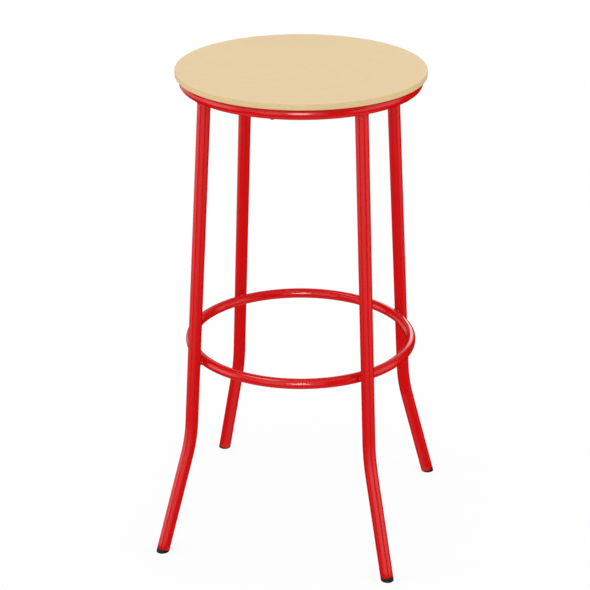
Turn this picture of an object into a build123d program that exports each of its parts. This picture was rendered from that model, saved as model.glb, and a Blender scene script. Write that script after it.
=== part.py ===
"""High stool: a round laminated plywood seat on a welded frame of bent steel tube.

Four legs lean out from a tube ring under the seat, bend outwards near the floor and end in angled plastic
plugs. A second ring, inside the legs, is the foot rest. Millimetres, +Z up, origin on the floor under the
middle of the seat, front towards -Y.
"""

from build123d import *

import os
from math import atan2, cos, sin, tan

# Seat: a plywood board between two sheets of laminate
SEAT_HEIGHT = 760.0
SEAT_DIAMETER = 380.0
SEAT_THICKNESS = 10.0
SEAT_TOP_EDGE_RADIUS = 2.5
SEAT_LOWER_EDGE_RADIUS = 1.5
LAMINATE_THICKNESS = 0.8

# Seat ring: a closed tube ring that carries the seat
SEAT_OVERHANG = 6.0
SEAT_RING_TUBE = 18.0
SEAT_RING_WALL = 1.5

# Foot ring: a closed tube ring inside the legs
FOOT_RING_DIAMETER = 350.0
FOOT_RING_HEIGHT = 316.0
FOOT_RING_TUBE = 16.0
FOOT_RING_WALL = 1.5

# Legs: bent tubes, evenly spaced, coped to the seat ring at the top and cut square at the foot
LEG_PLACES = ("front_right", "rear_right", "rear_left", "front_left")
FIRST_LEG_AZIMUTH = -45.0
LEG_TUBE = 20.0
LEG_WALL = 1.5
LEG_TOP_INSET = 9.0
LEG_TOP_CLEARANCE = 1.0
LEG_BEND_HEIGHT = 187.0
LEG_BEND_RADIUS = 250.0
FOOT_CIRCLE_DIAMETER = 516.0

# Both rings are closed by a butt joint between a leg and a screw
RING_SEAM_AZIMUTH = 22.5

# Welds: beads that bridge a small root gap between the tubes
WELD_ROOT_GAP = 0.5
WELD_SIZE = 2.2

# Foot plugs: pushed into the tube ends, flat on the floor
PLUG_THIN_SIDE = 2.0
PLUG_EDGE_RADIUS = 0.8
PLUG_FIT_CLEARANCE = 0.05
PLUG_STEM_LENGTH = 18.0
PLUG_STEM_DIAMETER = 13.0
PLUG_STEM_BORE = 8.0
PLUG_FIN_COUNT = 4
PLUG_FIN_THICKNESS = 1.0
PLUG_FIN_SLOPE = 0.6

# Seat screws: up through the seat ring, midway between the legs
SCREW_DIAMETER = 4.0
SCREW_HEAD_DIAMETER = 7.0
SCREW_HEAD_HEIGHT = 1.3
SCREW_RIM_HEIGHT = 0.3
SCREW_POINT_LENGTH = 3.0
SCREW_TIP_COVER = 3.0
SCREW_HOLE_CLEARANCE = 0.25
SCREW_PILOT_CLEARANCE = 0.05
SCREW_SLOT_LENGTH = 3.8
SCREW_SLOT_WIDTH = 0.8
SCREW_SLOT_DEPTH = 0.8

# Angles, heights and radii that follow from the sizes above
LEG_STEP_ANGLE = 360 / len(LEG_PLACES)
LEG_AZIMUTHS = [FIRST_LEG_AZIMUTH + number * LEG_STEP_ANGLE for number in range(len(LEG_PLACES))]
SEAT_UNDERSIDE = SEAT_HEIGHT - SEAT_THICKNESS
SEAT_RING_RADIUS = SEAT_DIAMETER / 2 - SEAT_OVERHANG - SEAT_RING_TUBE / 2
SEAT_RING_HEIGHT = SEAT_UNDERSIDE - SEAT_RING_TUBE / 2
FOOT_RING_RADIUS = FOOT_RING_DIAMETER / 2
LEG_RADIUS = LEG_TUBE / 2
LEG_BORE_RADIUS = LEG_RADIUS - LEG_WALL
LEG_TOP_HEIGHT = SEAT_UNDERSIDE - LEG_TOP_CLEARANCE

# The leg's axis in its own plane, as (distance from the stool's axis, height).
# It passes the foot ring at the weld's root gap and lies LEG_TOP_INSET inside the seat ring's centre line.
AXIS_AT_SEAT_RING = (SEAT_RING_RADIUS - LEG_TOP_INSET, SEAT_RING_HEIGHT)
AXIS_AT_FOOT_RING = (FOOT_RING_RADIUS + FOOT_RING_TUBE / 2 + WELD_ROOT_GAP + LEG_RADIUS, FOOT_RING_HEIGHT)
UPPER_LEAN = atan2(AXIS_AT_FOOT_RING[0] - AXIS_AT_SEAT_RING[0], SEAT_RING_HEIGHT - FOOT_RING_HEIGHT)


def upper_axis_radius(height):
    """Distance of the leg's straight upper run from the stool's axis at a height."""
    return AXIS_AT_FOOT_RING[0] + (FOOT_RING_HEIGHT - height) * tan(UPPER_LEAN)


BEND_CORNER = (upper_axis_radius(LEG_BEND_HEIGHT), LEG_BEND_HEIGHT)
FOOT_RADIUS = FOOT_CIRCLE_DIAMETER / 2
LOWER_LEAN = atan2(FOOT_RADIUS - BEND_CORNER[0], BEND_CORNER[1])

# The tube end's middle stands this far up the lower run from the floor, so the plug is thinnest inside.
TUBE_END_ALONG_AXIS = (PLUG_THIN_SIDE + LEG_RADIUS * abs(sin(LOWER_LEAN))) / cos(LOWER_LEAN)


def around(shape, azimuth):
    """A shape turned to an azimuth about the stool's axis."""
    return Rot(0, 0, azimuth) * shape


def disc_from(height, radius, thickness):
    """A solid disc or pin on the Z axis, up from a height."""
    return Pos(0, 0, height) * Cylinder(radius, thickness, align=(Align.CENTER, Align.CENTER, Align.MIN))


def upper_rod(radius, low, high):
    """A solid rod on the leg's upper axis, from one height to another."""
    start = Vector(upper_axis_radius(low), 0, low)
    end = Vector(upper_axis_radius(high), 0, high)
    return extrude(Plane(start, z_dir=end - start) * Circle(radius), (end - start).length)


def lower_plane(along):
    """A plane square to the leg's lower run, at a distance up its axis from the floor, facing up the leg."""
    origin = (FOOT_RADIUS - along * sin(LOWER_LEAN), 0, along * cos(LOWER_LEAN))
    return Plane(origin, x_dir=(0, 1, 0), z_dir=(-sin(LOWER_LEAN), 0, cos(LOWER_LEAN)))


def seat_ring_torus(minor_radius):
    """A torus on the seat ring's centre line, its seam turned clear of the legs and screws."""
    return Pos(0, 0, SEAT_RING_HEIGHT) * around(Torus(SEAT_RING_RADIUS, minor_radius), RING_SEAM_AZIMUTH)


def foot_ring_torus(minor_radius):
    """A torus on the foot ring's centre line, its seam turned clear of the legs."""
    return Pos(0, 0, FOOT_RING_HEIGHT) * around(Torus(FOOT_RING_RADIUS, minor_radius), RING_SEAM_AZIMUTH)


def trimmed_at_top(shape):
    """A shape cut off level, a little below the seat, as the leg tops and their welds are."""
    return split(shape, bisect_by=Plane.XY.offset(LEG_TOP_HEIGHT), keep=Keep.BOTTOM)


def at_legs(shape):
    """Copies of a shape, made in the leg's plane, at every leg."""
    return [around(shape, azimuth) for azimuth in LEG_AZIMUTHS]


def at_screws(shape):
    """Copies of a shape, made on the Z axis, on the seat ring midway between neighbouring legs."""
    outwards = Pos(SEAT_RING_RADIUS, 0, 0) * shape
    return [around(outwards, azimuth + LEG_STEP_ANGLE / 2) for azimuth in LEG_AZIMUTHS]


def seat_slice(low, high):
    """The seat disc between two heights, with its rounded rims and the screws' pilot holes."""
    disc = disc_from(SEAT_UNDERSIDE, SEAT_DIAMETER / 2, SEAT_THICKNESS)
    disc = fillet(disc.edges().group_by(Axis.Z)[-1], SEAT_TOP_EDGE_RADIUS)
    disc = fillet(disc.edges().group_by(Axis.Z)[0], SEAT_LOWER_EDGE_RADIUS)
    slab = disc_from(low, SEAT_DIAMETER, high - low)
    pilot_depth = SEAT_THICKNESS - SCREW_TIP_COVER + SCREW_PILOT_CLEARANCE
    pilot = disc_from(SEAT_UNDERSIDE, SCREW_DIAMETER / 2 + SCREW_PILOT_CLEARANCE, pilot_depth)
    return (disc & slab) - at_screws(pilot)


def seat_ring():
    """The ring under the seat, drilled through for the screws."""
    ring = seat_ring_torus(SEAT_RING_TUBE / 2) - seat_ring_torus(SEAT_RING_TUBE / 2 - SEAT_RING_WALL)
    hole_radius = SCREW_DIAMETER / 2 + SCREW_HOLE_CLEARANCE
    drill = disc_from(SEAT_RING_HEIGHT - SEAT_RING_TUBE, hole_radius, 2 * SEAT_RING_TUBE)
    return ring - at_screws(drill)


def foot_ring():
    """The foot rest, a plain closed tube ring."""
    return foot_ring_torus(FOOT_RING_TUBE / 2) - foot_ring_torus(FOOT_RING_TUBE / 2 - FOOT_RING_WALL)


def leg():
    """One leg tube in its own plane: swept along its bent axis, coped at the top, square at the foot."""
    above = LEG_TOP_HEIGHT + LEG_TUBE
    start = (upper_axis_radius(above), 0, above)
    corner = (BEND_CORNER[0], 0, BEND_CORNER[1])
    tube_end = lower_plane(TUBE_END_ALONG_AXIS).origin
    path = FilletPolyline(start, corner, tube_end, radius=LEG_BEND_RADIUS)
    section = Plane(path @ 0, z_dir=path % 0) * (Circle(LEG_RADIUS) - Circle(LEG_BORE_RADIUS))
    tube = trimmed_at_top(sweep(section, path=path))
    return tube - seat_ring_torus(SEAT_RING_TUBE / 2 + WELD_ROOT_GAP)


def seat_ring_weld(leg_tube):
    """The bead round one leg's coped end: what is near both tubes, less the tubes and the leg's bore."""
    low, high = SEAT_RING_HEIGHT - SEAT_RING_TUBE, SEAT_RING_HEIGHT + SEAT_RING_TUBE
    near_leg = upper_rod(LEG_RADIUS + WELD_SIZE, low, high) - upper_rod(LEG_BORE_RADIUS, low, high)
    near_both = trimmed_at_top(near_leg) & seat_ring_torus(SEAT_RING_TUBE / 2 + WELD_SIZE)
    return near_both - seat_ring_torus(SEAT_RING_TUBE / 2) - leg_tube


def foot_ring_weld():
    """The bead between one leg and the foot ring: what is near both tubes, less the tubes."""
    low, high = FOOT_RING_HEIGHT - FOOT_RING_TUBE, FOOT_RING_HEIGHT + FOOT_RING_TUBE
    near_leg = upper_rod(LEG_RADIUS + WELD_SIZE, low, high)
    near_both = near_leg & foot_ring_torus(FOOT_RING_TUBE / 2 + WELD_SIZE)
    return near_both - upper_rod(LEG_RADIUS, low, high) - foot_ring_torus(FOOT_RING_TUBE / 2)


def plug_stem():
    """The finned stem on the Z axis, from the tube end at 0 up the leg. The first fin is half a pitch up."""
    core, fin = PLUG_STEM_DIAMETER / 2, LEG_BORE_RADIUS - PLUG_FIT_CLEARANCE
    pitch = PLUG_STEM_LENGTH / (PLUG_FIN_COUNT + 0.5)
    outline = [(0, 0), (core, 0)]
    for i in range(PLUG_FIN_COUNT):
        foot = pitch * (i + 0.5)
        outline += [
            (core, foot),
            (fin, foot),
            (fin, foot + PLUG_FIN_THICKNESS),
            (core, foot + PLUG_FIN_THICKNESS + PLUG_FIN_SLOPE),
        ]
    outline += [(core, PLUG_STEM_LENGTH), (0, PLUG_STEM_LENGTH)]
    stem = revolve(Plane.XZ * make_face(Polyline(*outline, close=True)), Axis.Z)
    return stem - disc_from(0, PLUG_STEM_BORE / 2, PLUG_STEM_LENGTH)


def foot_plug():
    """One plug in the leg's plane: a wedge from the leaning tube end to the floor, on a finned stem."""
    end = lower_plane(TUBE_END_ALONG_AXIS)
    past_floor = TUBE_END_ALONG_AXIS + LEG_TUBE
    base = split(extrude(end * Circle(LEG_RADIUS), -past_floor), bisect_by=Plane.XY, keep=Keep.TOP)
    sole = base.faces().sort_by(Axis.Z)[0]
    base = fillet(sole.edges(), PLUG_EDGE_RADIUS)
    return base + end.location * plug_stem()


def seat_screw():
    """One low-headed screw on the Z axis, head down under the seat ring, point in the board."""
    bearing = SEAT_RING_HEIGHT - SEAT_RING_TUBE / 2
    tip = SEAT_HEIGHT - SCREW_TIP_COVER
    shank, head = SCREW_DIAMETER / 2, SCREW_HEAD_DIAMETER / 2
    rim = bearing - SCREW_RIM_HEIGHT
    crown = bearing - SCREW_HEAD_HEIGHT
    point = tip - SCREW_POINT_LENGTH
    outline = Polyline((0, crown), (0, tip), (shank, point), (shank, bearing), (head, bearing), (head, rim))
    dome = TangentArc((0, crown), (head, rim), tangent=(1, 0), tangent_from_first=True)
    body = revolve(Plane.XZ * make_face([*outline.edges(), *dome.edges()]), Axis.Z)
    slot = Pos(0, 0, crown) * Box(SCREW_SLOT_LENGTH, SCREW_SLOT_WIDTH, 2 * SCREW_SLOT_DEPTH)
    return body - slot - Rot(0, 0, 90) * slot


def write(name, *shapes):
    """One file per named piece, which may hold several like solids."""
    solids = [solid for shape in shapes for solid in shape.solids()]
    export_step(solids[0] if len(solids) == 1 else Compound(children=solids), f"parts/{name}.step")


def main():
    os.makedirs("parts", exist_ok=True)
    board_low, board_high = SEAT_UNDERSIDE + LAMINATE_THICKNESS, SEAT_HEIGHT - LAMINATE_THICKNESS
    write("seat_bottom_laminate", seat_slice(SEAT_UNDERSIDE, board_low))
    write("seat_board", seat_slice(board_low, board_high))
    write("seat_top_laminate", seat_slice(board_high, SEAT_HEIGHT))
    write("seat_ring", seat_ring())
    write("foot_ring", foot_ring())
    leg_tube, plug = leg(), foot_plug()
    for place, placed_leg, placed_plug in zip(LEG_PLACES, at_legs(leg_tube), at_legs(plug)):
        write(f"leg_{place}", placed_leg)
        write(f"foot_plug_{place}", placed_plug)
    write("seat_ring_welds", *at_legs(seat_ring_weld(leg_tube)))
    write("foot_ring_welds", *at_legs(foot_ring_weld()))
    write("seat_screws", *at_screws(seat_screw()))


main()
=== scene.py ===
"""High stool: the looks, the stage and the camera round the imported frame.

Every visible piece but the screws is a smooth surface worked out here from the stool's own sizes. It
stands for the CAD node of the same shape. Metres, +Z up, origin on the floor under the middle of the seat,
front -Y.
"""

import bpy
import numpy as np
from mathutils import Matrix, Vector


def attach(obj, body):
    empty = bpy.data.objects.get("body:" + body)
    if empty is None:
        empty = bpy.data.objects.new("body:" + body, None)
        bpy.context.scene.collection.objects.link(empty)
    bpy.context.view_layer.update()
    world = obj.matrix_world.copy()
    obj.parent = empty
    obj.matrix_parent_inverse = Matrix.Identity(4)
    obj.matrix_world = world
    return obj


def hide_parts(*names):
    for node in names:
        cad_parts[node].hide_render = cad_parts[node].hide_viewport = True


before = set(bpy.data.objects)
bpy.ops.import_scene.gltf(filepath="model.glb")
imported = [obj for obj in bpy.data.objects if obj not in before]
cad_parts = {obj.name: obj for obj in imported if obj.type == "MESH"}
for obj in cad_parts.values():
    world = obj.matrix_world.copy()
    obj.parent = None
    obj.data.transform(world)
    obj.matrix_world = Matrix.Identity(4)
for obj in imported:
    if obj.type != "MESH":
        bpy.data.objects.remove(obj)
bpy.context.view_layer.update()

# The stool's sizes
SEAT_HEIGHT = 0.760
SEAT_RADIUS = 0.190
SEAT_THICKNESS = 0.010
SEAT_TOP_EDGE_RADIUS = 0.0025
SEAT_LOWER_EDGE_RADIUS = 0.0015
LAMINATE_THICKNESS = 0.0008
SEAT_RING_RADIUS = 0.175
SEAT_RING_TUBE_RADIUS = 0.009
SEAT_RING_HEIGHT = SEAT_HEIGHT - SEAT_THICKNESS - SEAT_RING_TUBE_RADIUS
FOOT_RING_RADIUS = 0.175
FOOT_RING_TUBE_RADIUS = 0.008
FOOT_RING_HEIGHT = 0.316
LEG_RADIUS = 0.010
LEG_WALL = 0.0015
LEG_BORE_RADIUS = LEG_RADIUS - LEG_WALL
LEG_TOP_INSET = 0.009
LEG_TOP_CLEARANCE = 0.001
LEG_TOP_HEIGHT = SEAT_HEIGHT - SEAT_THICKNESS - LEG_TOP_CLEARANCE
LEG_BEND_HEIGHT = 0.187
LEG_BEND_RADIUS = 0.250
FOOT_CIRCLE_RADIUS = 0.258
WELD_ROOT_GAP = 0.0005
WELD_SIZE = 0.0022
PLUG_THIN_SIDE = 0.002
PLUG_EDGE_RADIUS = 0.0008
PLUG_STEM_LENGTH = 0.018
PLUG_STEM_RADIUS = 0.0065
PLUG_STEM_BORE_RADIUS = 0.004
PLUG_FIN_CLEARANCE = 0.00005
PLUG_FIN_RADIUS = LEG_BORE_RADIUS - PLUG_FIN_CLEARANCE
PLUG_FIN_COUNT = 4
PLUG_FIN_THICKNESS = 0.001
PLUG_FIN_SLOPE = 0.0006
LEG_AZIMUTHS = {"front_right": -45, "rear_right": 45, "rear_left": 135, "front_left": 225}

# Sizes of the smooth surfaces alone, where depth, hollow, blunt end and waist are shares of a bead's size
TUBE_EDGE_BREAK = 0.0004
PLUG_LIP = 0.0003
SEAT_BEAD_RIPPLE_PITCH = 0.0017
SEAT_BEAD_RIPPLE_DEPTH = 0.06
SEAT_BEAD_HOLLOW = 0.15
SEAT_BEAD_TAPER = 0.003
SEAT_BEAD_BLUNT_END = 0.1
SEAT_BEAD_SUNK = 0.0006
FOOT_BEAD_HALF_WIDTH = 0.0080
FOOT_BEAD_HALF_HEIGHT = 0.0066
FOOT_BEAD_RIPPLE_COUNT = 26
FOOT_BEAD_RIPPLE_DEPTH = 0.035
FOOT_BEAD_WAIST = 0.55
FOOT_BEAD_SUNK = 0.0002
FOOT_BEAD_TIP = 0.001

# The pace of a weld's ripples, counted in ripples
RIPPLE_HURRY = 0.25
RIPPLES_PER_HURRY = 5.3
RIPPLE_LAG = 0.9

# The leg's axis in its own plane, as (distance from the stool's axis, height)
TOP_OF_AXIS = np.array([SEAT_RING_RADIUS - LEG_TOP_INSET, SEAT_RING_HEIGHT])
AXIS_BY_FOOT_RING = np.array(
    [FOOT_RING_RADIUS + FOOT_RING_TUBE_RADIUS + WELD_ROOT_GAP + LEG_RADIUS, FOOT_RING_HEIGHT]
)
UPPER_LEAN = np.arctan2(AXIS_BY_FOOT_RING[0] - TOP_OF_AXIS[0], TOP_OF_AXIS[1] - AXIS_BY_FOOT_RING[1])
BEND_CORNER = np.array(
    [TOP_OF_AXIS[0] + (TOP_OF_AXIS[1] - LEG_BEND_HEIGHT) * np.tan(UPPER_LEAN), LEG_BEND_HEIGHT]
)
LOWER_LEAN = np.arctan2(FOOT_CIRCLE_RADIUS - BEND_CORNER[0], LEG_BEND_HEIGHT)
BEND_TANGENT = LEG_BEND_RADIUS * np.tan((LOWER_LEAN - UPPER_LEAN) / 2)

# Places along the leg's axis, counted from the seat ring's level
BEND_START = np.hypot(*(BEND_CORNER - TOP_OF_AXIS)) - BEND_TANGENT
BEND_END = BEND_START + LEG_BEND_RADIUS * (LOWER_LEAN - UPPER_LEAN)
FLOOR_END = BEND_END + LEG_BEND_HEIGHT / np.cos(LOWER_LEAN) - BEND_TANGENT
TUBE_END = FLOOR_END - (PLUG_THIN_SIDE + LEG_RADIUS * np.sin(LOWER_LEAN)) / np.cos(LOWER_LEAN)
CLEAR_OF_SEAT_RING = 3 * LEG_RADIUS
PLAIN_FROM = 4 * LEG_RADIUS

# The photograph's camera, fitted to the stool's outline, for a square picture
PICTURE_SIDE_PX = 590
FOCAL_LENGTH_PX = 1803.7
CAMERA_AZIMUTH = 13.468
CAMERA_DISTANCE = 2.6248
CAMERA_HEIGHT = 1.5083
CAMERA_YAW = -0.2005
CAMERA_PITCH = 23.130
SENSOR_WIDTH_MM = 36

# Edges that turn by more than this stay sharp in the shading
SHARP_ANGLE = np.radians(35)


def grid_mesh(points, wrap_rows=False, poles=(None, None)):
    """Vertices and faces of a grid of points, shape (rows, columns, 3), whose columns close into rings.

    Each cell of four neighbouring points is a quad. With wrap_rows the last row joins the first. A pole is a
    point that closes the first or the last row with a fan of triangles.
    """
    rows, columns = points.shape[:2]
    index = np.arange(rows * columns).reshape(rows, columns)
    ahead = np.roll(index, -1, axis=1)
    below, below_ahead = (np.roll(grid, -1, axis=0) for grid in (index, ahead))
    cells = np.stack([index, ahead, below_ahead, below], axis=-1)
    faces = cells[: rows if wrap_rows else rows - 1].reshape(-1, 4).tolist()
    vertices = points.reshape(-1, 3)
    fans = ((poles[0], ahead[0], index[0]), (poles[1], index[-1], ahead[-1]))
    for pole, start, end in fans:
        if pole is not None:
            tip = np.full(columns, len(vertices))
            faces += np.stack([tip, start, end], axis=-1).tolist()
            vertices = np.vstack([vertices, pole])
    return vertices, faces


def add_piece(name, parts, material, slot, *nodes):
    """One smooth object from a list of (vertices, faces), in place of the CAD nodes of the same shape."""
    vertices, faces, offset = [], [], 0
    for part_vertices, part_faces in parts:
        vertices.append(part_vertices)
        faces += [[corner + offset for corner in face] for face in part_faces]
        offset += len(part_vertices)
    mesh = bpy.data.meshes.new(name)
    mesh.from_pydata(np.vstack(vertices), [], faces)
    mesh.polygons.foreach_set("use_smooth", np.ones(len(faces), bool))
    mesh.set_sharp_from_angle(angle=SHARP_ANGLE)
    mesh.materials.append(material)
    mesh.update()
    piece = bpy.data.objects.new(name, mesh)
    bpy.context.scene.collection.objects.link(piece)
    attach(piece, "root")
    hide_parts(*nodes)


def turned(count):
    """Angles once round, without repeating the first."""
    return np.linspace(0, 2 * np.pi, count, endpoint=False)


def revolve(profile, count=256):
    """A profile of (distance, height) rows carried once round the Z axis, closed on it at both ends."""
    angle = turned(count)
    distance, height = profile[:, :1], profile[:, 1:]
    heights = np.broadcast_to(height, (len(profile), count))
    points = np.stack([distance * np.cos(angle), distance * np.sin(angle), heights], axis=-1)
    return grid_mesh(points[:, ::-1], poles=([0, 0, profile[0, 1]], [0, 0, profile[-1, 1]]))


def ring_tube(ring_radius, tube_radius, height, around=384, across=48):
    """A torus: a circle of the tube's radius carried round a circle of the ring's radius."""
    along = turned(around)[:, None]
    section = turned(across)[None, :]
    distance = ring_radius + tube_radius * np.cos(section)
    heights = np.broadcast_to(height + tube_radius * np.sin(section), (around, across))
    points = np.stack([distance * np.cos(along), distance * np.sin(along), heights], axis=-1)
    return grid_mesh(points[:, ::-1], wrap_rows=True)


def placed(distance, side, height, azimuth):
    """Points at a distance from the stool's axis towards an azimuth, so far to its side and at a height."""
    out = np.radians(azimuth)
    x = distance * np.cos(out) - side * np.sin(out)
    y = distance * np.sin(out) + side * np.cos(out)
    return np.stack(np.broadcast_arrays(x, y, height), axis=-1)


def leg_point(along, radius, turn, azimuth):
    """Points on or in a leg, by the distance along its axis, the distance from it and the turn round it.

    A turn of 0 is outwards. The axis runs straight at the upper lean, turns through the bend on an arc and
    runs straight at the lower lean. On the arc the direction (sin, -cos) of the lean is added up, which
    gives the bend's radius times (cos a - cos b, sin a - sin b).
    """
    lean = UPPER_LEAN + np.clip(along - BEND_START, 0, BEND_END - BEND_START) / LEG_BEND_RADIUS
    upper = np.minimum(along, BEND_START)
    lower = np.maximum(along - BEND_END, 0)
    distance = TOP_OF_AXIS[0] + upper * np.sin(UPPER_LEAN) + lower * np.sin(LOWER_LEAN)
    distance = distance + LEG_BEND_RADIUS * (np.cos(UPPER_LEAN) - np.cos(lean))
    distance = distance + radius * np.cos(turn) * np.cos(lean)
    height = TOP_OF_AXIS[1] - upper * np.cos(UPPER_LEAN) - lower * np.cos(LOWER_LEAN)
    height = height + LEG_BEND_RADIUS * (np.sin(UPPER_LEAN) - np.sin(lean))
    height = height + radius * np.cos(turn) * np.sin(lean)
    return placed(distance, radius * np.sin(turn), height, azimuth)


def from_seat_ring(points):
    """Distance of points from the seat ring's centre line."""
    from_axis = np.hypot(points[..., 0], points[..., 1])
    return np.hypot(from_axis - SEAT_RING_RADIUS, points[..., 2] - SEAT_RING_HEIGHT)


def top_level(radius, turn):
    """How far along the axis a line of the leg's surface reaches the level that leg tops are trimmed to."""
    rise = radius * np.cos(turn) * np.sin(UPPER_LEAN)
    return (SEAT_RING_HEIGHT - LEG_TOP_HEIGHT + rise) / np.cos(UPPER_LEAN)


def below_seat_ring(radius, turn, clearance, halvings=40):
    """How far along the axis a line of the leg's surface comes as near to the seat ring as a clearance.

    The clearance counts from the ring's centre line. The place is found by halving the stretch that holds
    it. A line that never comes so near ends at the trimmed top.
    """
    top = top_level(radius, turn)
    meets = from_seat_ring(leg_point(top, radius, turn, 0)) < clearance
    high, low = top, np.full_like(top, CLEAR_OF_SEAT_RING)
    for _ in range(halvings):
        middle = (high + low) / 2
        inside = from_seat_ring(leg_point(middle, radius, turn, 0)) < clearance
        high, low = np.where(inside, middle, high), np.where(inside, low, middle)
    return np.where(meets, low, top)


def leg_tube(azimuth, around=72):
    """One leg: circles carried along the bent axis, down the outside and up the bore, closed over both ends.

    Rows near the top ease from the cope's outline to plain circles. The outer edge of the square-cut end is
    broken in two steps.
    """
    turn = turned(around)[None, :]
    near_ring = SEAT_RING_TUBE_RADIUS + WELD_ROOT_GAP
    cope, bore_cope = (below_seat_ring(radius, turn, near_ring) for radius in (LEG_RADIUS, LEG_BORE_RADIUS))
    ease = np.linspace(0, 1, 12)[:, None]
    edge = TUBE_EDGE_BREAK
    # Stretches of the axis, each from a place to a place in a number of rows
    stretches = ((PLAIN_FROM, BEND_START, 40), (BEND_START, BEND_END, 25), (BEND_END, TUBE_END - edge, 16))
    plain = np.concatenate([np.linspace(*stretch)[1:, None] for stretch in stretches])
    runs = [
        (cope + (PLAIN_FROM - cope) * ease, LEG_RADIUS),
        (plain, LEG_RADIUS),
        (TUBE_END - edge / 3, LEG_RADIUS - edge / 3),
        (TUBE_END, LEG_RADIUS - edge),
        (TUBE_END, LEG_BORE_RADIUS),
        (plain[::-1], LEG_BORE_RADIUS),
        (bore_cope + (PLAIN_FROM - bore_cope) * ease[::-1], LEG_BORE_RADIUS),
    ]
    points = np.concatenate([leg_point(along + 0 * turn, radius, turn, azimuth) for along, radius in runs])
    return grid_mesh(points[:, ::-1], wrap_rows=True)


def foot_plug(azimuth, around=72):
    """One plug: circles carried along the leg's lower axis, from the finned stem's bore out to the sole.

    A line of the plug's side reaches the floor where its height, which falls by the cosine of the lean and
    differs by the sine of the lean round the axis, is nought. The rim of the sole is rounded.
    """
    turn = turned(around)[None, :]
    stem_top = TUBE_END - PLUG_STEM_LENGTH
    pitch = PLUG_STEM_LENGTH / (PLUG_FIN_COUNT + 0.5)

    def floor(radius):
        """How far along the axis a line at this radius reaches the floor."""
        return FLOOR_END + radius * np.cos(turn) * np.tan(LOWER_LEAN)

    def fin(number):
        """The rows of one fin, counted from the tube's end."""
        foot = TUBE_END - pitch * (number + 0.5)
        top = foot - PLUG_FIN_THICKNESS
        return [
            (top - PLUG_FIN_SLOPE, PLUG_STEM_RADIUS),
            (top, PLUG_FIN_RADIUS),
            (foot, PLUG_FIN_RADIUS),
            (foot, PLUG_STEM_RADIUS),
        ]

    def sole_rim(angle):
        """A row of the rounded rim, from the side at 0 to the sole at a right angle."""
        radius = LEG_RADIUS - PLUG_EDGE_RADIUS * (1 - np.cos(angle))
        return floor(radius) - PLUG_EDGE_RADIUS * (1 - np.sin(angle)), radius

    rows = [(TUBE_END, PLUG_STEM_BORE_RADIUS), (stem_top, PLUG_STEM_BORE_RADIUS)]
    rows.append((stem_top, PLUG_STEM_RADIUS))
    rows += [row for number in reversed(range(PLUG_FIN_COUNT)) for row in fin(number)]
    rows.append((TUBE_END, PLUG_STEM_RADIUS))
    rows += [(TUBE_END, LEG_RADIUS - PLUG_LIP), (TUBE_END + PLUG_LIP, LEG_RADIUS)]
    rows += [sole_rim(angle) for angle in np.radians(np.linspace(0, 90, 7))]
    rows += [(floor(share * LEG_RADIUS), share * LEG_RADIUS) for share in (0.6, 0.3)]
    points = np.concatenate([leg_point(along + 0 * turn, radius, turn, azimuth) for along, radius in rows])
    ends = [leg_point(np.array(along), 0, 0, azimuth) for along in (TUBE_END, FLOOR_END)]
    return grid_mesh(points[:, ::-1], poles=ends)


def ripples(along, share, pitch, depth):
    """Ripples of a weld's face: 1, less up to a depth in the dips between the puddles.

    A cosine of the distance along the weld. Its pace is a little uneven, as a hand's is. It lags in the
    middle of the face, at half the share from one side to the other, so that each ripple is a crescent.
    """
    hurry = RIPPLE_HURRY * pitch * np.sin(2 * np.pi * along / (RIPPLES_PER_HURRY * pitch))
    lag = RIPPLE_LAG * pitch * 4 * share * (1 - share)
    return 1 - depth * (0.5 + 0.5 * np.cos(2 * np.pi * (along + hurry - lag) / pitch))


def seat_ring_bead(azimuth, steps=240, across=13):
    """The bead round one coped leg top, along the line where the leg's surface meets the seat ring.

    At each turn round the leg three points are found: the corner of the two surfaces, and one bead size from
    it on the leg and on the ring. A quadratic curve drawn between the last two towards the corner is the
    bead's face. Ripples draw it in towards the corner, and so does a taper at both ends. A point inside the
    walls closes its section.
    """
    all_turns = np.linspace(-np.pi, np.pi, 2001)
    tops = leg_point(top_level(LEG_RADIUS, all_turns), LEG_RADIUS, all_turns, 0)
    meets = from_seat_ring(tops) < SEAT_RING_TUBE_RADIUS
    margin = 1e-3
    reach = np.abs(all_turns[meets]).max() - margin
    turn = np.linspace(-reach, reach, steps)

    def line(from_leg_axis, from_ring):
        """The line at one distance from the leg's axis and another from the ring's centre line."""
        return leg_point(below_seat_ring(from_leg_axis, turn, from_ring), from_leg_axis, turn, azimuth)

    corner = line(LEG_RADIUS, SEAT_RING_TUBE_RADIUS)
    on_leg = line(LEG_RADIUS, SEAT_RING_TUBE_RADIUS + WELD_SIZE)
    on_ring = line(LEG_RADIUS + WELD_SIZE, SEAT_RING_TUBE_RADIUS)
    buried = line(LEG_RADIUS - SEAT_BEAD_SUNK, SEAT_RING_TUBE_RADIUS - SEAT_BEAD_SUNK)
    pull = SEAT_BEAD_HOLLOW * corner + (1 - SEAT_BEAD_HOLLOW) / 2 * (on_leg + on_ring)
    share = np.linspace(0, 1, across)[:, None]
    part = share[..., None]
    face = (1 - part) ** 2 * on_leg + 2 * part * (1 - part) * pull + part**2 * on_ring
    from_end = (reach - np.abs(turn)) * LEG_RADIUS
    taper = np.sqrt(np.clip(from_end / SEAT_BEAD_TAPER, SEAT_BEAD_BLUNT_END, 1))
    drawn_in = taper * ripples(turn * LEG_RADIUS, share, SEAT_BEAD_RIPPLE_PITCH, SEAT_BEAD_RIPPLE_DEPTH)
    section = np.concatenate([corner + (face - corner) * drawn_in[..., None], buried[None]])
    points = np.swapaxes(section[::-1], 0, 1)
    return grid_mesh(points, poles=(points[0].mean(axis=0), points[-1].mean(axis=0)))


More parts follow.
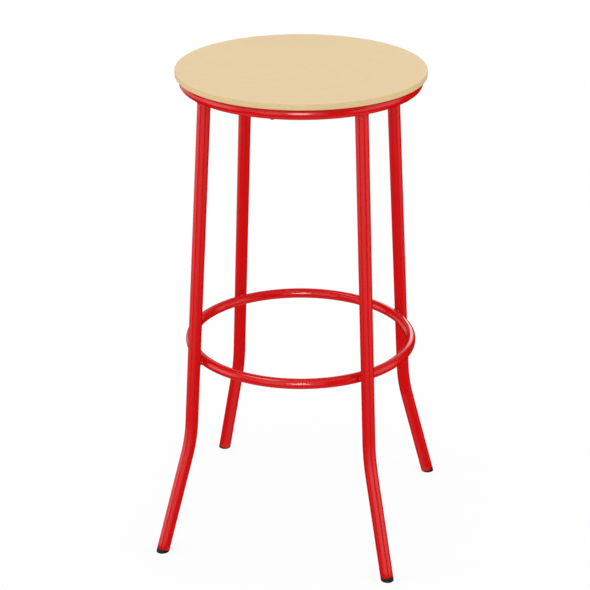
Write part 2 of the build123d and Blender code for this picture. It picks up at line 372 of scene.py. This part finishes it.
def foot_ring_bead(azimuth, around=240, across=13):
    """The bead between one leg and the foot ring, a pad round the place where they pass closest.

    Seen along the line from ring to leg the pad is an ellipse with ripples. Its face runs from the ring's
    surface to the leg's and is waisted between them. Both sides go on under the surfaces to a point on the
    line.
    """
    angle = turned(around)[None, :]
    share = np.linspace(0, 1, across)[:, None]
    mean_radius = (FOOT_BEAD_HALF_WIDTH + FOOT_BEAD_HALF_HEIGHT) / 2
    pitch = 2 * np.pi * mean_radius / FOOT_BEAD_RIPPLE_COUNT
    waist = 1 - FOOT_BEAD_WAIST * share * (1 - share)
    size = waist * ripples(mean_radius * angle, share, pitch, FOOT_BEAD_RIPPLE_DEPTH)
    side = FOOT_BEAD_HALF_WIDTH * size * np.cos(angle)
    up = FOOT_BEAD_HALF_HEIGHT * size * np.sin(angle)
    ring_reach = FOOT_RING_RADIUS + np.sqrt(FOOT_RING_TUBE_RADIUS**2 - up**2)
    on_ring = np.sqrt(ring_reach**2 - side**2) - FOOT_BEAD_SUNK
    on_leg = AXIS_BY_FOOT_RING[0] - up * np.tan(UPPER_LEAN) + FOOT_BEAD_SUNK
    on_leg = on_leg - np.sqrt(LEG_RADIUS**2 - side**2) / np.cos(UPPER_LEAN)
    distance = on_ring + (on_leg - on_ring) * share
    points = placed(distance, side, FOOT_RING_HEIGHT + up, azimuth)
    middle = FOOT_RING_RADIUS + FOOT_RING_TUBE_RADIUS + WELD_ROOT_GAP / 2
    tips = [
        placed(middle + shift, 0, FOOT_RING_HEIGHT, azimuth) for shift in (-FOOT_BEAD_TIP, FOOT_BEAD_TIP)
    ]
    return grid_mesh(points, poles=tips)


def seat_profiles():
    """The seat's three layers, top, board and backing, as profiles of (distance, height) closed on the axis.

    The whole seat's outline has a round rim at the top and a smaller one below. Each layer takes the stretch
    of that outline between its own two levels.
    """
    under = SEAT_HEIGHT - SEAT_THICKNESS
    top_round_from = SEAT_HEIGHT - SEAT_TOP_EDGE_RADIUS
    low_round_from = under + SEAT_LOWER_EDGE_RADIUS

    def rim(height):
        """The outline's distance from the axis at a height."""
        above = np.clip(height - top_round_from, 0, SEAT_TOP_EDGE_RADIUS)
        below = np.clip(low_round_from - height, 0, SEAT_LOWER_EDGE_RADIUS)
        inset = SEAT_TOP_EDGE_RADIUS - np.sqrt(SEAT_TOP_EDGE_RADIUS**2 - above**2)
        inset = inset + SEAT_LOWER_EDGE_RADIUS - np.sqrt(SEAT_LOWER_EDGE_RADIUS**2 - below**2)
        return SEAT_RADIUS - inset

    def layer(low, high):
        """The profile between two heights, from the middle of its top out and down to that of its bottom."""
        heights = low + (high - low) * (0.5 - 0.5 * np.cos(np.linspace(0, np.pi, 24)))
        edge = np.stack([rim(heights), heights], axis=-1)[::-1]
        inwards = np.array([0.999, 0.97, 0.8, 0.5, 0.2])
        top = np.stack([edge[0, 0] * inwards[::-1], np.full_like(inwards, high)], axis=-1)
        bottom = np.stack([edge[-1, 0] * inwards, np.full_like(inwards, low)], axis=-1)
        return np.concatenate([top, edge, bottom])

    levels = (under, under + LAMINATE_THICKNESS, SEAT_HEIGHT - LAMINATE_THICKNESS, SEAT_HEIGHT)
    return layer(*levels[2:]), layer(*levels[1:3]), layer(*levels[:2])


class Shade:
    """A shader socket. Sums, differences, products and quotients with numbers or sockets add Math nodes."""

    def __init__(self, tree, socket=None):
        self.tree = tree
        self.socket = socket

    def node(self, kind, settings=None, out=0, **inputs):
        """A new node of any kind: its settings are set first, then its sockets' values or links by name.

        A socket's name is written with underscores. One of several like sockets is given by its number, as
        in socket_1. Returns the output asked for.
        """
        made = self.tree.nodes.new(kind)
        for name, value in (settings or {}).items():
            setattr(made, name, value)
        for name, value in inputs.items():
            if name.startswith("socket_"):
                target = made.inputs[int(name.removeprefix("socket_"))]
            else:
                target = made.inputs[name.replace("_", " ")]
            if isinstance(value, Shade):
                self.tree.links.new(value.socket, target)
            else:
                target.default_value = value
        return Shade(self.tree, made.outputs[out] if made.outputs else None)

    def outputs(self):
        """All outputs of the node that this socket belongs to, by number or by name."""
        return self.socket.node.outputs

    def math(self, operation, *values):
        """A Math node on numbers or sockets."""
        return self.node("ShaderNodeMath", {"operation": operation}, **numbered(values))

    def vector_math(self, operation, *values, out=0):
        """A Vector Math node on vectors or sockets, whose output 1 is a number."""
        return self.node("ShaderNodeVectorMath", {"operation": operation}, out, **numbered(values))

    def __add__(self, other):
        return self.math("ADD", self, other)

    __radd__ = __add__

    def __sub__(self, other):
        return self.math("SUBTRACT", self, other)

    def __rsub__(self, other):
        return self.math("SUBTRACT", other, self)

    def __mul__(self, other):
        return self.math("MULTIPLY", self, other)

    __rmul__ = __mul__

    def __truediv__(self, other):
        return self.math("DIVIDE", self, other)


def numbered(values):
    """Values for a node's first sockets, by their numbers."""
    return {f"socket_{number}": value for number, value in enumerate(values)}


def linear(red, green, blue):
    """A colour given in a picture's 0 to 255 values, as the shader's linear values."""
    share = np.array([red, green, blue]) / 255
    light = np.where(share <= 0.04045, share / 12.92, ((share + 0.055) / 1.055) ** 2.4)
    return (*light.tolist(), 1.0)


def new_material(name):
    """An empty material, and a Shade that adds nodes to it."""
    material = bpy.data.materials.new(name)
    material.use_nodes = True
    material.node_tree.nodes.clear()
    return material, Shade(material.node_tree)


def surface(shade, **inputs):
    """Ends a material in a principled surface with these inputs."""
    shader = shade.node("ShaderNodeBsdfPrincipled", **inputs)
    shade.node("ShaderNodeOutputMaterial", Surface=shader)


def glow(shade, radiance):
    """Ends a material in white light of a radiance."""
    light = shade.node("ShaderNodeEmission", Color=radiance, Strength=1.0)
    shade.node("ShaderNodeOutputMaterial", Surface=light)


def mixed(shade, amount, first, second):
    """One colour turned into another by an amount."""
    return shade.node(
        "ShaderNodeMix", {"data_type": "RGBA"}, out=2, socket_0=amount, socket_6=first, socket_7=second
    )


def noise(shade, place, scale=1.0, detail=2.0, roughness=0.5):
    """Smooth noise round a half. The scale counts its lumps in one unit of the place."""
    return shade.node("ShaderNodeTexNoise", Vector=place, Scale=scale, Detail=detail, Roughness=roughness)


def bump(shade, height, distance):
    """A normal that leans as if the surface rose by a distance where the height is 1."""
    return shade.node("ShaderNodeBump", Height=height, Distance=distance, Strength=1.0)


def object_place(shade):
    """Object coordinates, which here are places in the shared frame."""
    return shade.node("ShaderNodeTexCoord", out=3)


def stretched(shade, place, x, y, z):
    """Object coordinates stretched, so that a pattern is drawn out along one way."""
    return shade.node("ShaderNodeMapping", Vector=place, Scale=(x, y, z))


def components(shade, vector):
    """A vector's X, Y and Z."""
    apart = shade.node("ShaderNodeSeparateXYZ", Vector=vector)
    return [Shade(shade.tree, output) for output in apart.outputs()]


# The colours of the finishes
RED = linear(212, 14, 16)
RED_DEEP = linear(204, 10, 12)
MAPLE = linear(229, 206, 165)
MAPLE_LINE = linear(221, 194, 149)
BIRCH = linear(219, 192, 141)
BIRCH_END = linear(207, 178, 124)
GLUE_LINE = linear(176, 140, 96)
BACKING = linear(220, 198, 156)
PLUG_BLACK = linear(12, 12, 13)
PLUG_SCUFFED = linear(34, 33, 33)
ZINC = linear(120, 116, 108)
ZINC_DULL = linear(84, 80, 76)

# The trunk that the maple figure is sawn from: the place, slope and wander of its axis, and its rings
TRUNK_DEPTH = 0.10
TRUNK_SLOPE = 0.40
TRUNK_ASIDE = 0.035
TRUNK_WANDER_DOWN = 0.05
TRUNK_WANDER_ASIDE = 0.10
TRUNK_RING_PITCH = 0.0095

# The board's plies, with half of a glue line as a share of a ply
PLY_THICKNESS = 0.0012
GLUE_HALF_SHARE = 0.04


def red_powder_coat():
    """Gloss powder coat: red, a little deeper in slow clouds, with the fine orange peel of a baked coat."""
    material, shade = new_material("red_powder_coat_gloss")
    place = object_place(shade)
    clouds = noise(shade, place, scale=28.0)
    peel = noise(shade, place, scale=620.0, detail=1.0)
    surface(
        shade,
        Base_Color=mixed(shade, clouds, RED, RED_DEEP),
        Roughness=0.09 + 0.05 * clouds,
        Normal=bump(shade, peel, distance=0.000002),
    )
    return material


def maple_laminate():
    """Maple print under a matt wear layer.

    The figure is that of a plank sawn along X from rings round a trunk. A point's distance from the trunk's
    axis, which leans and wanders, counts the rings, and each ends in a soft darker line. Fine fibres and
    short flecks lie along X too, and the wear layer has a fine dimple texture.
    """
    material, shade = new_material("maple_laminate_matt")
    place = object_place(shade)
    along, across = components(shade, place)[:2]
    wander = noise(shade, stretched(shade, place, 4.0, 11.0, 1.0)) - 0.5
    depth = TRUNK_DEPTH + TRUNK_SLOPE * along + TRUNK_WANDER_DOWN * wander
    aside = across + TRUNK_ASIDE + TRUNK_WANDER_ASIDE * wander
    rings = shade.math("SQRT", depth * depth + aside * aside) / TRUNK_RING_PITCH
    late = shade.math("POWER", shade.math("PINGPONG", rings, 1.0), 4.0)
    fibre = noise(shade, stretched(shade, place, 45.0, 1500.0, 1.0))
    fleck = noise(shade, stretched(shade, place, 220.0, 2600.0, 1.0), detail=1.0)
    spots = shade.math("GREATER_THAN", fleck, 0.68)
    dimple = noise(shade, place, scale=1400.0, detail=1.0)
    amount = 0.07 + 0.18 * late + 0.42 * fibre + 0.22 * spots + 0.4 * wander
    surface(
        shade,
        Base_Color=mixed(shade, amount, MAPLE, MAPLE_LINE),
        Roughness=0.66 + 0.06 * fibre,
        Specular_IOR_Level=0.1,
        Normal=bump(shade, dimple, distance=0.00001),
    )
    return material


def plywood():
    """The sanded and lacquered rim of the board: plies in turn along and across, with thin glue lines."""
    material, shade = new_material("plywood_rim")
    place = object_place(shade)
    height = components(shade, place)[2]
    plies = (height - (SEAT_HEIGHT - SEAT_THICKNESS + LAMINATE_THICKNESS)) / PLY_THICKNESS
    across = shade.math("MODULO", shade.math("FLOOR", plies), 2.0)
    inside = shade.math("FRACT", plies)
    glue = shade.math("LESS_THAN", shade.math("MINIMUM", inside, 1 - inside), GLUE_HALF_SHARE)
    fibre = noise(shade, stretched(shade, place, 400.0, 400.0, 1800.0), detail=3.0)
    wood = mixed(shade, 0.35 * across + 0.3 * fibre, BIRCH, BIRCH_END)
    surface(
        shade,
        Base_Color=mixed(shade, 0.3 * glue, wood, GLUE_LINE),
        Roughness=0.45 + 0.1 * fibre,
        Normal=bump(shade, fibre - 0.6 * glue, distance=0.00005),
    )
    return material


def backing_laminate():
    """The sheet under the seat: plain, matt and slightly mottled."""
    material, shade = new_material("backing_laminate_matt")
    place = object_place(shade)
    mottle = noise(shade, place, scale=60.0, detail=3.0)
    grit = noise(shade, place, scale=1600.0, detail=1.0)
    surface(
        shade,
        Base_Color=mixed(shade, 0.5 * mottle, BACKING, BIRCH_END),
        Roughness=0.6 + 0.1 * grit,
        Normal=bump(shade, grit, distance=0.00002),
    )
    return material


def black_plastic():
    """Moulded plug plastic: near black, with a fine spark-eroded texture and faint scuffs."""
    material, shade = new_material("black_moulded_plastic")
    place = object_place(shade)
    spark = noise(shade, place, scale=1500.0)
    scuff = noise(shade, place, scale=160.0, detail=4.0, roughness=0.65)
    surface(
        shade,
        Base_Color=mixed(shade, 0.5 * scuff, PLUG_BLACK, PLUG_SCUFFED),
        Roughness=0.42 + 0.2 * scuff,
        Specular_IOR_Level=0.35,
        Normal=bump(shade, spark, distance=0.00004),
    )
    return material


def dark_zinc():
    """Zinc plated steel of the screws, dulled in patches."""
    material, shade = new_material("dark_zinc_plate")
    patch = noise(shade, object_place(shade), scale=500.0, detail=3.0)
    surface(
        shade,
        Base_Color=mixed(shade, patch, ZINC, ZINC_DULL),
        Metallic=1.0,
        Roughness=0.32 + 0.15 * patch,
    )
    return material


def dress():
    """Makes every piece of the stool, and gives the CAD screws their finish."""
    red, black = red_powder_coat(), black_plastic()
    for place, azimuth in LEG_AZIMUTHS.items():
        add_piece(f"leg_tube_{place}", [leg_tube(azimuth)], red, "red_powder_coat", f"leg_{place}")
        plug = [foot_plug(azimuth)]
        add_piece(f"plug_moulding_{place}", plug, black, "black_plastic", f"foot_plug_{place}")
    seat_ring = ring_tube(SEAT_RING_RADIUS, SEAT_RING_TUBE_RADIUS, SEAT_RING_HEIGHT)
    add_piece("seat_ring_tube", [seat_ring], red, "red_powder_coat", "seat_ring")
    foot_ring = ring_tube(FOOT_RING_RADIUS, FOOT_RING_TUBE_RADIUS, FOOT_RING_HEIGHT)
    add_piece("foot_ring_tube", [foot_ring], red, "red_powder_coat", "foot_ring")
    seat_beads = [seat_ring_bead(azimuth) for azimuth in LEG_AZIMUTHS.values()]
    add_piece("seat_ring_weld_beads", seat_beads, red, "red_powder_coat", "seat_ring_welds")
    foot_beads = [foot_ring_bead(azimuth) for azimuth in LEG_AZIMUTHS.values()]
    add_piece("foot_ring_weld_beads", foot_beads, red, "red_powder_coat", "foot_ring_welds")
    top, board, backing = ([revolve(profile)] for profile in seat_profiles())
    add_piece("seat_top_sheet", top, maple_laminate(), "top_laminate", "seat_top_laminate")
    add_piece("seat_ply_board", board, plywood(), "plywood", "seat_board")
    add_piece("seat_backing_sheet", backing, backing_laminate(), "backing_laminate", "seat_bottom_laminate")
    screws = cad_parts["seat_screws"].data
    screws.materials.clear()
    screws.materials.append(dark_zinc())


def aim(lamp_or_camera, target):
    """Turns a lamp or camera to look at a point."""
    way = Vector(target) - lamp_or_camera.location
    lamp_or_camera.rotation_mode = "QUATERNION"
    lamp_or_camera.rotation_quaternion = way.to_track_quat("-Z", "Y")


def photograph_camera():
    """The fitted camera: on its azimuth round the stool, turned by a small yaw and pitched down."""
    side, heading, pitch = np.radians([CAMERA_AZIMUTH, CAMERA_AZIMUTH - CAMERA_YAW, CAMERA_PITCH])
    data = bpy.data.cameras.new("photograph_camera")
    data.sensor_width = SENSOR_WIDTH_MM
    data.lens = FOCAL_LENGTH_PX / PICTURE_SIDE_PX * SENSOR_WIDTH_MM
    camera = bpy.data.objects.new("photograph_camera", data)
    camera.location = (CAMERA_DISTANCE * np.sin(side), -CAMERA_DISTANCE * np.cos(side), CAMERA_HEIGHT)
    ahead = Vector((-np.sin(heading) * np.cos(pitch), np.cos(heading) * np.cos(pitch), -np.sin(pitch)))
    aim(camera, camera.location + ahead)
    bpy.context.scene.collection.objects.link(camera)
    bpy.context.scene.camera = camera


def softbox(name, place, target, width, height, radiance):
    """A flat lamp that the gloss doesn't show, of an even radiance: its power over four times its area."""
    data = bpy.data.lights.new(name, "AREA")
    data.shape = "RECTANGLE"
    data.size, data.size_y = width, height
    data.energy = 4 * radiance * width * height
    lamp = bpy.data.objects.new(name, data)
    lamp.location = place
    lamp.visible_glossy = False
    aim(lamp, target)
    bpy.context.scene.collection.objects.link(lamp)


def stage_piece(name, vertices, faces, material):
    """A piece of the studio."""
    mesh = bpy.data.meshes.new(name)
    mesh.from_pydata(vertices, [], faces)
    mesh.materials.append(material)
    piece = bpy.data.objects.new(name, mesh)
    bpy.context.scene.collection.objects.link(piece)
    return piece


def gloss_piece(name, vertices, faces, material):
    """A piece of the studio that only shows in the stool's gloss."""
    piece = stage_piece(name, vertices, faces, material)
    piece.visible_camera = False
    piece.visible_diffuse = False
    piece.visible_shadow = False


def shown_rays(shade):
    """1 for the rays that show a background: the camera's, and those of reflections and clear materials."""
    path = shade.node("ShaderNodeLightPath").outputs()
    camera, glossy, clear = (
        Shade(shade.tree, path[name]) for name in ("Is Camera Ray", "Is Glossy Ray", "Is Transmission Ray")
    )
    return shade.math("MINIMUM", camera + glossy + clear, 1.0)


def white_world(ambient):
    """White all round to the camera and in reflections, and an even ambient light on everything else."""
    world = bpy.data.worlds.new("white_studio")
    world.use_nodes = True
    world.node_tree.nodes.clear()
    shade = Shade(world.node_tree)
    brightness = ambient + (1 - ambient) * shown_rays(shade)
    backdrop = shade.node("ShaderNodeBackground", Color=(1, 1, 1, 1), Strength=brightness)
    shade.node("ShaderNodeOutputWorld", Surface=backdrop)
    bpy.context.scene.world = world


def pale_floor(radius=8.0, corners=96, fade_from=0.5, fade_to=2.0, near_white=0.88):
    """A round white floor that keeps a faint shadow of the stool and fades into the white world.

    Up to one distance a share of it is plain white and the rest is lit, and from another on it is all white.
    The gloss doesn't show it.
    """
    material, shade = new_material("pale_floor")
    away = shade.vector_math("LENGTH", object_place(shade), out=1)
    share = shade.node(
        "ShaderNodeMapRange", Value=away, From_Min=fade_from, From_Max=fade_to, To_Min=near_white, To_Max=1.0
    )
    lit = shade.node("ShaderNodeBsdfDiffuse", Color=(0.9, 0.9, 0.9, 1.0))
    white = shade.node("ShaderNodeEmission", Color=(1, 1, 1, 1), Strength=1.0)
    amount = shown_rays(shade) * share
    shown = shade.node("ShaderNodeMixShader", socket_0=amount, socket_1=lit, socket_2=white)
    shade.node("ShaderNodeOutputMaterial", Surface=shown)
    angle = turned(corners)
    rim = np.stack([radius * np.cos(angle), radius * np.sin(angle), 0 * angle], axis=-1)
    floor = stage_piece("pale_floor", rim, [list(range(corners))], material)
    floor.visible_glossy = False


def soft_step(shade, value, start, end):
    """0 up to the start, 1 from the end on, with a smooth rise between."""
    return shade.node(
        "ShaderNodeMapRange", {"interpolation_type": "SMOOTHSTEP"}, Value=value, From_Min=start, From_Max=end
    )


def band(shade, value, start, end, softness):
    """1 between a start and an end, 0 outside, with soft borders."""
    rise = soft_step(shade, value, start - softness, start + softness)
    return rise - soft_step(shade, value, end - softness, end + softness)


def soft_glow(name, middle, half_sides, even, radiance):
    """A material of one radiance up to an even share of the way from its middle, and less from there on.

    The share is the length of the offset from the middle, counted along each side in half sides.
    """
    material, shade = new_material(name)
    offset = shade.vector_math("SUBTRACT", object_place(shade), middle)
    first, second = (
        shade.vector_math("DOT_PRODUCT", offset, half / (half @ half), out=1) for half in half_sides
    )
    away = shade.math("SQRT", first * first + second * second)
    glow(shade, radiance * (1 - soft_step(shade, away, even, 1)))
    return material


def bright_card(name, place, width, height, even, radiance):
    """An upright oval card that faces the stool's axis and draws a highlight with soft ends."""
    place = np.array(place)
    along = np.array([-place[1], place[0], 0]) / np.hypot(place[0], place[1]) * width / 2
    up = np.array([0, 0, height / 2])
    corners = [place - along - up, place + along - up, place + along + up, place - along + up]
    gloss_piece(name, corners, [[0, 1, 2, 3]], soft_glow(name, place, (along, up), even, radiance))


def gloss_dome(radius=20.0):
    """What the stool's gloss shows of the studio: a far sphere whose radiance follows the direction.

    Directions are in degrees: the elevation, and the turn from the photograph's side towards its right.
    White walls fade out below the horizon and under a dim ceiling. They are brighter along the horizon in
    front and at the left. Dark flags take light away, three in front and four towards the rear. The floor
    near the stool and a bright panel high at the left are added last.
    """
    material, shade = new_material("gloss_dome")
    facing = shade.node(
        "ShaderNodeMapping", Vector=object_place(shade), Rotation=(0, 0, -np.radians(CAMERA_AZIMUTH))
    )
    right, away, up = components(shade, facing)
    degrees = np.degrees(1)
    turn = shade.math("ARCTAN2", right, -1 * away) * degrees
    elevation = shade.math("ARCSINE", up / radius) * degrees
    side = shade.math("ABSOLUTE", turn)
    leftwards = -1 * turn
    walls = 0.65 * soft_step(shade, elevation, -26, -12) + 0.35 * soft_step(shade, elevation, -12, 0)
    ceiling = (0.4 + 0.45 * soft_step(shade, side, 50, 90)) * soft_step(shade, elevation, 26, 44)
    horizon = 0.3 * band(shade, elevation, -6, 8, 6) * (1 - soft_step(shade, side, 80, 110))
    left_wall = 0.7 * band(shade, leftwards, 64, 96, 6) * band(shade, elevation, -14, 18, 8)
    left_flag = band(shade, turn, -63, -39, 7) * (1 - 0.6 * soft_step(shade, elevation, -8, 4))
    right_flag = band(shade, turn, 20, 47, 7) * (1 - soft_step(shade, elevation, 40, 55))
    high_flag = band(shade, turn, 40, 64, 7) * band(shade, elevation, 10, 48, 6)
    right_side_flag = band(shade, turn, 106, 146, 7) * (1 - soft_step(shade, elevation, 32, 40))
    right_rear_flag = soft_step(shade, turn, 95, 108) * (1 - soft_step(shade, elevation, 4, 16))
    left_rear_flag = band(shade, leftwards, 105, 158, 7) * soft_step(shade, elevation, 4, 14)
    rear_flag = band(shade, leftwards, 155, 178, 7) * (1 - soft_step(shade, elevation, 18, 28))
    near_floor = 0.3 * (1 - soft_step(shade, elevation, -58, -42))
    overhead_left = 4.0 * band(shade, leftwards, 42, 114, 10) * band(shade, elevation, 60, 79, 4)
    front_flags = (left_flag, right_flag, high_flag)
    rear_flags = (right_side_flag, right_rear_flag, left_rear_flag, rear_flag)
    radiance = walls - ceiling + horizon + left_wall
    for flag in front_flags + rear_flags:
        radiance = radiance * (1 - flag)
    glow(shade, radiance + near_floor + overhead_left)
    angle = np.radians(np.linspace(89, -89, 60))
    profile = radius * np.stack([np.cos(angle), np.sin(angle)], axis=-1)
    gloss_piece("gloss_dome", *revolve(profile, count=96), material)


def studio():
    """An even white studio: ambient light, softboxes above, in front and beside, and the gloss pieces."""
    white_world(ambient=0.97)
    pale_floor()
    middle = (0, 0, 0.45)
    softbox("overhead_softbox", (-0.2, 0.2, 2.4), middle, width=1.6, height=1.6, radiance=0.15)
    softbox("front_softbox", (0.6, -2.7, 1.6), middle, width=1.2, height=1.0, radiance=0.6)
    softbox("left_softbox", (-2.3, -1.2, 1.1), middle, width=0.8, height=1.6, radiance=1.7)
    softbox("right_softbox", (2.6, 0.0, 1.1), middle, width=0.8, height=1.6, radiance=1.5)
    gloss_dome()
    bright_card("front_card", (0.55, -2.5, 1.2), width=1.4, height=1.7, even=0.2, radiance=15.5)
    bright_card("rear_card", (0.15, 1.23, 0.75), width=1.06, height=0.85, even=0.2, radiance=4.0)


bpy.context.scene.view_settings.view_transform = "Standard"
dress()
photograph_camera()
studio()
